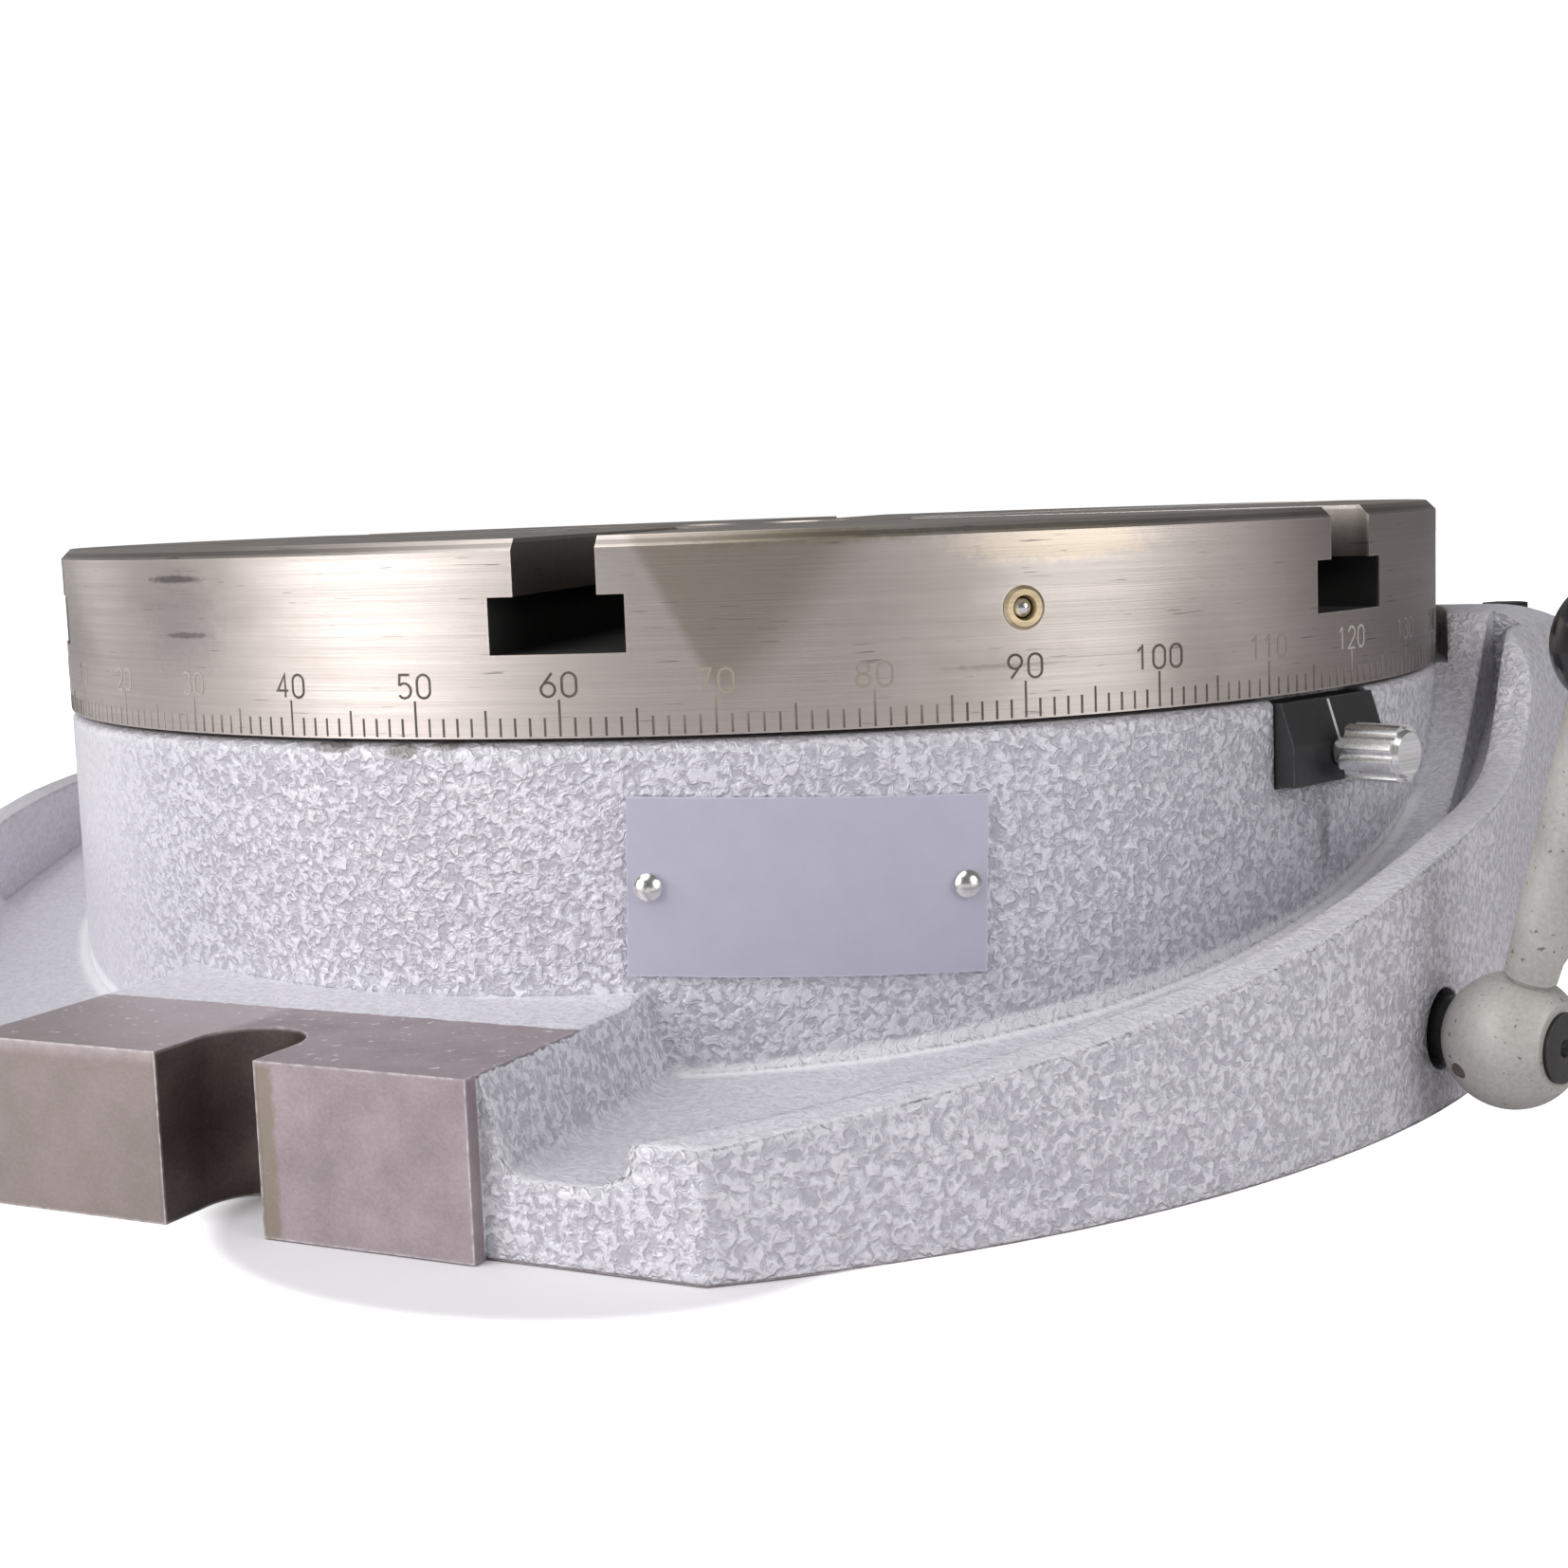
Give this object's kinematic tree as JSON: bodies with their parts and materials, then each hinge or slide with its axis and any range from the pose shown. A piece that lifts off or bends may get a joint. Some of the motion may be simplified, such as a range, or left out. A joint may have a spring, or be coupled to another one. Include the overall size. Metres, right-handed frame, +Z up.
{
  "type": "rotary indexing table",
  "caption": "Worm-driven rotary table with T-slotted graduated disc on a flanged cast base with a clamping lug, side clamp levers, zero pointer, dial and handwheel.",
  "frame": {"origin": "on the table's axis, in the plane of the base sole", "axes": "+Z up along the table's axis; -Y towards the front clamping lug; +X towards the handwheel, along the worm"},
  "size_m": [0.4047, 0.3295, 0.0917],
  "materials": {
    "hammer_paint": "silver-grey hammertone enamel on cast iron",
    "ground_iron": "turned and ground, warm grey",
    "bright_steel": "polished",
    "plain_steel": "machined",
    "black_steel": "black oxide",
    "satin_chrome": "satin",
    "lever_plate": "plated, satin",
    "aluminium": "bright turned",
    "brass": "turned",
    "bronze": "machined bronze",
    "plate": "bare satin",
    "knob_plastic": "black phenolic"
  },
  "bodies": {
    "base": {"base_casting": "hammer_paint", "bottom_cover": "black_steel", "bottom_cover_screws": "plain_steel", "end_cap": "black_steel", "end_cap_screws": "plain_steel", "oil_plug": "black_steel", "nameplate": "plate", "nameplate_rivets": "bright_steel", "pointer_block": "black_steel"},
    "table": {"rotary_table": "ground_iron", "centre_sleeve": "bright_steel", "oil_nipple_cup": "brass", "oil_nipple_ball": "bright_steel", "worm_wheel": "bronze", "worm_wheel_screws": "black_steel", "retainer_plate": "plain_steel", "retainer_screws": "black_steel"},
    "sleeve": {"eccentric_sleeve": "plain_steel", "worm_bush_right": "bronze", "worm_bush_left": "bronze", "worm_bush_outer": "bronze", "bearing_nut": "black_steel", "vernier_collar": "satin_chrome", "release_rod": "bright_steel", "release_ball": "knob_plastic"},
    "worm": {"worm_shaft": "plain_steel", "handwheel": "satin_chrome", "handwheel_key": "plain_steel", "handwheel_washer": "bright_steel", "handwheel_nut": "bright_steel", "crank_pin": "bright_steel"},
    "grip": {"crank_grip": "knob_plastic"},
    "dial": {"dial": "satin_chrome"},
    "dial_lock": {"dial_lock_screw": "bright_steel"},
    "pointer_screw": {"pointer_knob": "aluminium"},
    "clamp_right": {"clamp_shaft_right": "black_steel", "clamp_hub_right": "lever_plate", "clamp_shank_right": "lever_plate", "clamp_knob_right": "knob_plastic", "clamp_pin_right": "plain_steel"},
    "plunger_right": {"clamp_plunger_right": "plain_steel"},
    "clamp_left": {"clamp_shaft_left": "black_steel", "clamp_hub_left": "lever_plate", "clamp_shank_left": "lever_plate", "clamp_knob_left": "knob_plastic", "clamp_pin_left": "plain_steel"},
    "plunger_left": {"clamp_plunger_left": "plain_steel"}
  },
  "joints": [
    {"name": "table_spin", "type": "hinge", "parent": "base", "child": "table", "pos_m": [0, 0, 0.06], "axis": [0, 0, 1], "continuous": true},
    {"name": "sleeve_swing", "type": "hinge", "parent": "base", "child": "sleeve", "pos_m": [0.15, 0.109, 0.032], "axis": [-1, 0, 0], "range_deg": [0, 85]},
    {"name": "worm_spin", "type": "hinge", "parent": "sleeve", "child": "worm", "pos_m": [0.15, 0.104, 0.032], "axis": [1, 0, 0], "continuous": true},
    {"name": "crank_grip_spin", "type": "hinge", "parent": "worm", "child": "grip", "pos_m": [0.21, 0.104, 0.053], "axis": [1, 0, 0], "continuous": true},
    {"name": "dial_slip", "type": "hinge", "parent": "worm", "child": "dial", "pos_m": [0.17, 0.104, 0.032], "axis": [1, 0, 0], "continuous": true},
    {"name": "dial_lock_turn", "type": "hinge", "parent": "dial", "child": "dial_lock", "pos_m": [0.1701, 0.104, 0.06], "axis": [0, 0, 1], "range_deg": [0, 180]},
    {"name": "pointer_knob_turn", "type": "hinge", "parent": "base", "child": "pointer_screw", "pos_m": [0.12216, -0.04446, 0.0508], "axis": [0.9397, -0.342, 0], "range_deg": [0, 360]},
    {"name": "clamp_right_turn", "type": "hinge", "parent": "base", "child": "clamp_right", "pos_m": [0.13838, -0.05789, 0.012], "axis": [-0.9225, 0.3859, 0], "range_deg": [-30, 60]},
    {"name": "clamp_left_turn", "type": "hinge", "parent": "base", "child": "clamp_left", "pos_m": [-0.13838, -0.05789, 0.012], "axis": [-0.9225, -0.3859, 0], "range_deg": [-30, 60]},
    {"name": "plunger_right_lift", "type": "slide", "parent": "base", "child": "plunger_right", "axis": [0, 0, 1], "range_m": [-0.00025, 0.0005]},
    {"name": "plunger_left_lift", "type": "slide", "parent": "base", "child": "plunger_left", "axis": [0, 0, 1], "range_m": [-0.00025, 0.0005]}
  ],
  "couplings": [
    {"joint": "worm_spin", "follows": "table_spin", "ratio": 90},
    {"joint": "plunger_right_lift", "follows": "clamp_right_turn", "m_per_rad": 0.00047746},
    {"joint": "plunger_left_lift", "follows": "clamp_left_turn", "m_per_rad": 0.00047746}
  ]
}
